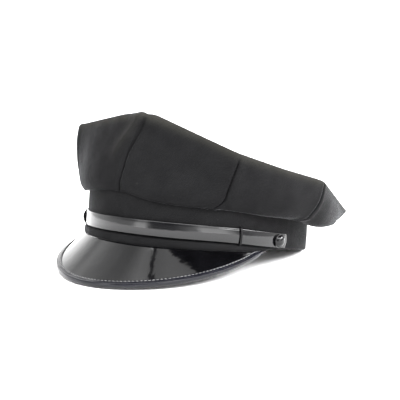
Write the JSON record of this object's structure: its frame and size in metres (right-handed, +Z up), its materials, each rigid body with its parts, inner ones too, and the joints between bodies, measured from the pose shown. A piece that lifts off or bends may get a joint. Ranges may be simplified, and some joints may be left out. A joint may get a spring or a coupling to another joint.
{
  "type": "chauffeur cap",
  "caption": "Black eight-point cloth cap with a high front, upright band, glossy peak with bound rim, glossy front strap with keepers and domed side buttons.",
  "frame": {"origin": "centre of the cap's box, on the surface that it rests on", "axes": "-Y is the wearer's front, where the peak is; +X is the wearer's left; +Z is up as the cap rests by itself on its peak and the back of its band"},
  "size_m": [0.2148, 0.2548, 0.1156],
  "materials": {
    "cap_cloth": "matte black twill",
    "peak_vinyl": "high-gloss black patent sheet",
    "binding_vinyl": "high-gloss black folded binding",
    "strap_vinyl": "high-gloss black patent strap",
    "button_gloss": "polished black"
  },
  "bodies": {
    "root": {"band": "cap_cloth", "crown_top": "cap_cloth", "crown_panel_left_of_front": "cap_cloth", "crown_panel_left_side_front": "cap_cloth", "crown_panel_left_side_back": "cap_cloth", "crown_panel_left_of_back": "cap_cloth", "crown_panel_right_of_back": "cap_cloth", "crown_panel_right_side_back": "cap_cloth", "crown_panel_right_side_front": "cap_cloth", "crown_panel_right_of_front": "cap_cloth", "peak": "peak_vinyl", "peak_binding": "binding_vinyl", "strap": "strap_vinyl", "keeper_left": "strap_vinyl", "keeper_right": "strap_vinyl", "button_left": "button_gloss", "button_right": "button_gloss"}
  },
  "joints": []
}
